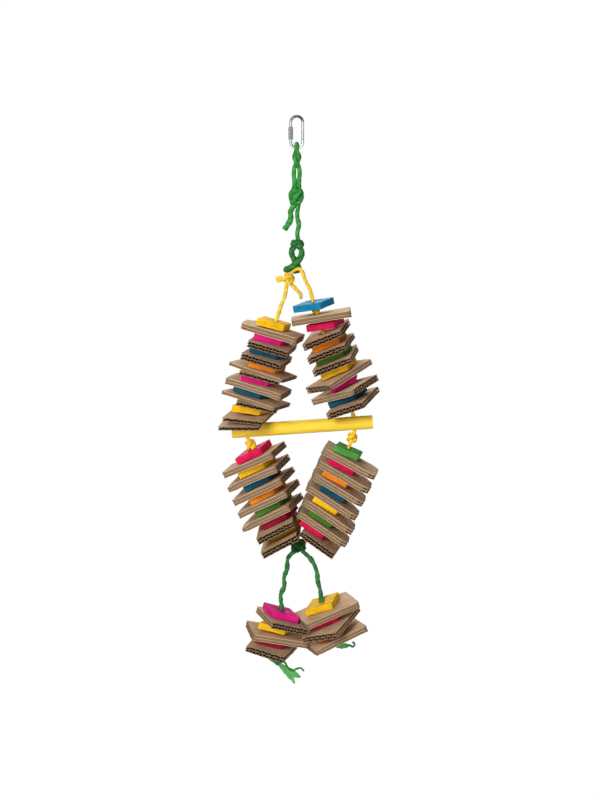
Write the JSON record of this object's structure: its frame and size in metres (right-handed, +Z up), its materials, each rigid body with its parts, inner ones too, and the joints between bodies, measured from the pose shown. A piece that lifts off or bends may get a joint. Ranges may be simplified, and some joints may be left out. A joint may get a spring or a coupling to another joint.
{
  "type": "hanging chew toy",
  "caption": "Hanging bird chew toy: cardboard and dyed wood slices strung on paper rope round a dowel perch, under a steel quick link.",
  "frame": {"origin": "the hanging point, inside the top of the link's upper bow, where a hook carries the toy", "axes": "+Z up along the hanging line, +X to the right in the front view, +Y away from the front"},
  "size_m": [0.1426, 0.0671, 0.5106],
  "materials": {
    "steel": "polished plated wire",
    "green_rope": "matt twisted paper",
    "yellow_rope": "matt twisted paper",
    "perch_dye": "dyed, sanded",
    "dyed_wood": "dyed in six colours, sawn",
    "cardboard": "matt kraft paper"
  },
  "bodies": {
    "link": {"link": "steel"},
    "sleeve": {"link_sleeve": "steel"},
    "toy": {"hanger_rope": "green_rope", "hanger_knots": "green_rope", "yellow_rope": "yellow_rope", "yellow_knot": "yellow_rope", "perch_knots": "yellow_rope", "top_stop_knot": "yellow_rope", "perch": "perch_dye", "bottom_knot": "green_rope", "bottom_rope": "green_rope", "rope_tails": "green_rope", "upper_left_slices": "dyed_wood", "upper_left_card_1": "cardboard", "upper_left_card_2": "cardboard", "upper_left_card_3": "cardboard", "upper_left_card_4": "cardboard", "upper_left_card_5": "cardboard", "upper_left_card_6": "cardboard", "upper_left_card_7": "cardboard", "upper_left_card_8": "cardboard", "upper_left_card_9": "cardboard", "upper_left_card_10": "cardboard", "upper_right_slices": "dyed_wood", "upper_right_card_1": "cardboard", "upper_right_card_2": "cardboard", "upper_right_card_3": "cardboard", "upper_right_card_4": "cardboard", "upper_right_card_5": "cardboard", "upper_right_card_6": "cardboard", "upper_right_card_7": "cardboard", "lower_left_slices": "dyed_wood", "lower_left_card_1": "cardboard", "lower_left_card_2": "cardboard", "lower_left_card_3": "cardboard", "lower_left_card_4": "cardboard", "lower_left_card_5": "cardboard", "lower_left_card_6": "cardboard", "lower_left_card_7": "cardboard", "lower_right_slices": "dyed_wood", "lower_right_card_1": "cardboard", "lower_right_card_2": "cardboard", "lower_right_card_3": "cardboard", "lower_right_card_4": "cardboard", "lower_right_card_5": "cardboard", "lower_right_card_6": "cardboard", "lower_right_card_7": "cardboard", "bottom_left_slices": "dyed_wood", "bottom_left_card_1": "cardboard", "bottom_left_card_2": "cardboard", "bottom_left_card_3": "cardboard", "bottom_right_slices": "dyed_wood", "bottom_right_card_1": "cardboard", "bottom_right_card_2": "cardboard", "bottom_right_card_3": "cardboard"}
  },
  "joints": [
    {"name": "sleeve_slide", "type": "slide", "parent": "link", "child": "sleeve", "axis": [0, 0, 1], "range_m": [0, 0.0036]},
    {"name": "toy_swing", "type": "hinge", "parent": "link", "child": "toy", "pos_m": [0, 0, -0.026], "axis": [1, 0, 0], "range_deg": [-60, 60]}
  ]
}
